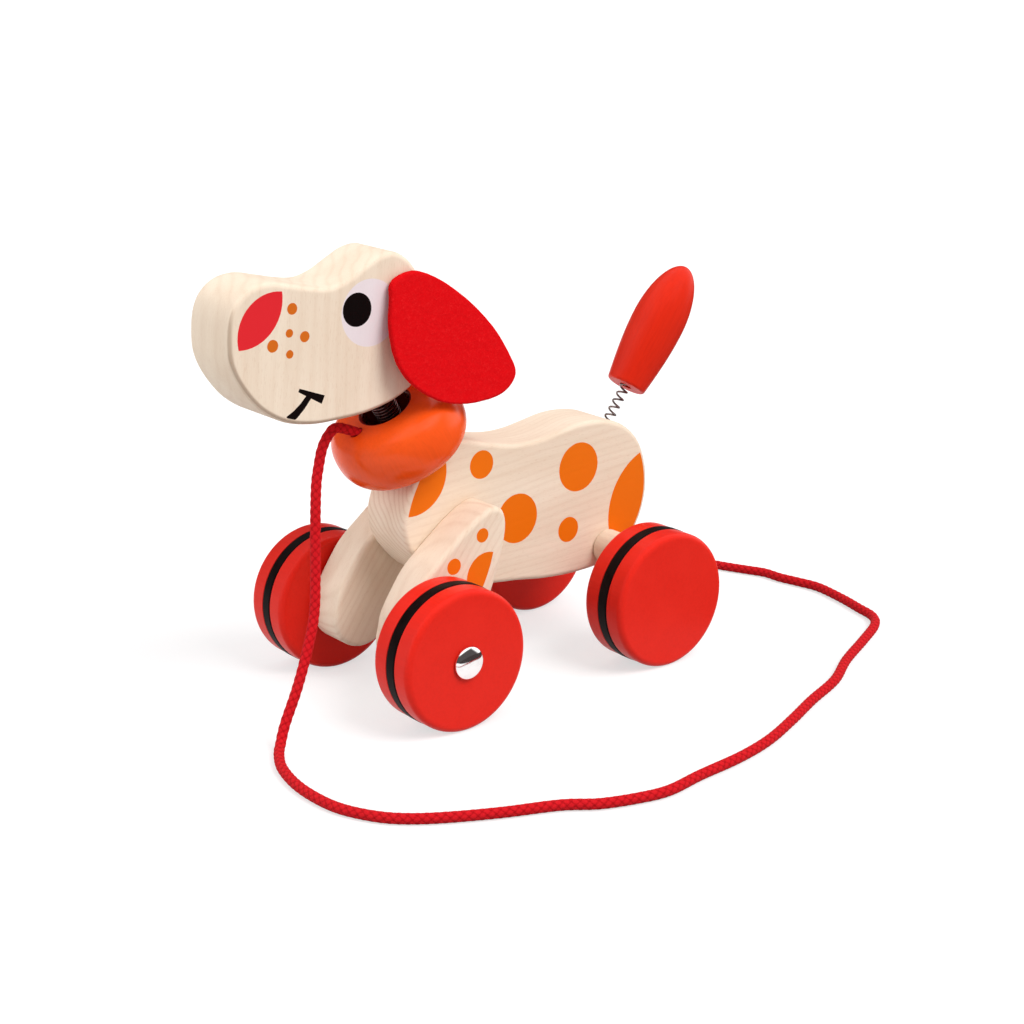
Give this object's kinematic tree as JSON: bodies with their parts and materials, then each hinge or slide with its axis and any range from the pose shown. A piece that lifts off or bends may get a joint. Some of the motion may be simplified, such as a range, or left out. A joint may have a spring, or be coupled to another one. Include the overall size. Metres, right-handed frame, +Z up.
{
  "type": "pull along toy",
  "caption": "Wooden pull-along dog: block body, sprung head and tail, felt ears, banded wheels with the rear pair off centre, and a braided pull cord.",
  "frame": {"origin": "on the floor under the middle of the dog's box, cord left out", "axes": "+X towards the nose, +Y to the dog's left, +Z up"},
  "size_m": [0.3206, 0.2366, 0.1901],
  "materials": {
    "plain_wood": "fine sanded beech with a thin matt clear coat, spots printed on it",
    "dowel_wood": "turned beech, not coated",
    "red_wheel_paint": "red stain and satin lacquer",
    "red_tail_lacquer": "red gloss lacquer",
    "orange_lacquer": "orange gloss lacquer with the grain just showing",
    "black_rubber": "matt moulded rubber",
    "spring_steel": "drawn wire and ground rod",
    "cap_chrome": "polished plating",
    "red_felt": "thick felt with a soft nap",
    "red_cord": "braided cotton"
  },
  "bodies": {
    "chassis": {"body_block": "plain_wood", "front_leg_left": "plain_wood", "front_leg_right": "plain_wood", "shoulder_dowel_upper": "dowel_wood", "shoulder_dowel_lower": "dowel_wood", "front_pin_left": "spring_steel", "front_pin_right": "spring_steel", "axle_cap_left": "cap_chrome", "axle_cap_right": "cap_chrome", "collar": "orange_lacquer", "neck_plug_lower": "dowel_wood", "pull_cord": "red_cord", "cord_end_knot": "red_cord"},
    "front_wheel_left": {"wheel_front_left": "red_wheel_paint", "band_front_left": "black_rubber"},
    "front_wheel_right": {"wheel_front_right": "red_wheel_paint", "band_front_right": "black_rubber"},
    "rear_wheelset": {"rear_axle": "dowel_wood", "rear_spacer_left": "dowel_wood", "rear_spacer_right": "dowel_wood", "wheel_rear_left": "red_wheel_paint", "wheel_rear_right": "red_wheel_paint", "band_rear_left": "black_rubber", "band_rear_right": "black_rubber"},
    "neck": {"neck_spring": "spring_steel"},
    "head": {"head_block": "plain_wood", "neck_plug_upper": "dowel_wood"},
    "left_ear": {"ear_left": "red_felt"},
    "right_ear": {"ear_right": "red_felt"},
    "tail_stem": {"tail_spring": "spring_steel"},
    "tail_body": {"tail": "red_tail_lacquer"}
  },
  "joints": [
    {"name": "front_wheel_left_roll", "type": "hinge", "parent": "chassis", "child": "front_wheel_left", "pos_m": [0.0474, 0.0456, 0.03015], "axis": [0, 1, 0], "continuous": true},
    {"name": "front_wheel_right_roll", "type": "hinge", "parent": "chassis", "child": "front_wheel_right", "pos_m": [0.0474, -0.0456, 0.03015], "axis": [0, 1, 0], "continuous": true},
    {"name": "rear_wheelset_roll", "type": "hinge", "parent": "chassis", "child": "rear_wheelset", "pos_m": [-0.0641, 0, 0.04425], "axis": [0, 1, 0], "continuous": true},
    {"name": "head_nod", "type": "hinge", "parent": "chassis", "child": "neck", "pos_m": [0.0398, 0, 0.11555], "axis": [0, 1, 0], "range_deg": [-10, 10], "stiffness_Nm_per_rad": 0.5, "springref_deg": -4.01, "deforming": ["neck_spring"]},
    {"name": "head_turn", "type": "hinge", "parent": "neck", "child": "head", "pos_m": [0.0484, 0, 0.13045], "axis": [0.5, 0, 0.866], "range_deg": [-30, 30], "stiffness_Nm_per_rad": 0.3},
    {"name": "left_ear_lift", "type": "hinge", "parent": "head", "child": "left_ear", "pos_m": [0.0484, 0.0148, 0.18215], "axis": [1, 0, 0], "range_deg": [0, 50], "stiffness_Nm_per_rad": 0.01},
    {"name": "right_ear_lift", "type": "hinge", "parent": "head", "child": "right_ear", "pos_m": [0.0484, -0.0148, 0.18215], "axis": [-1, 0, 0], "range_deg": [0, 50], "stiffness_Nm_per_rad": 0.01},
    {"name": "tail_wag", "type": "hinge", "parent": "chassis", "child": "tail_stem", "pos_m": [-0.08189, 0, 0.10403], "axis": [0.809, 0, 0.5878], "range_deg": [-25, 25], "stiffness_Nm_per_rad": 0.06, "deforming": ["tail_spring"]},
    {"name": "tail_dip", "type": "hinge", "parent": "tail_stem", "child": "tail_body", "pos_m": [-0.08718, 0, 0.11131], "axis": [0, 1, 0], "range_deg": [-15, 15], "stiffness_Nm_per_rad": 0.06, "springref_deg": 1.72, "deforming": ["tail_spring"]}
  ]
}
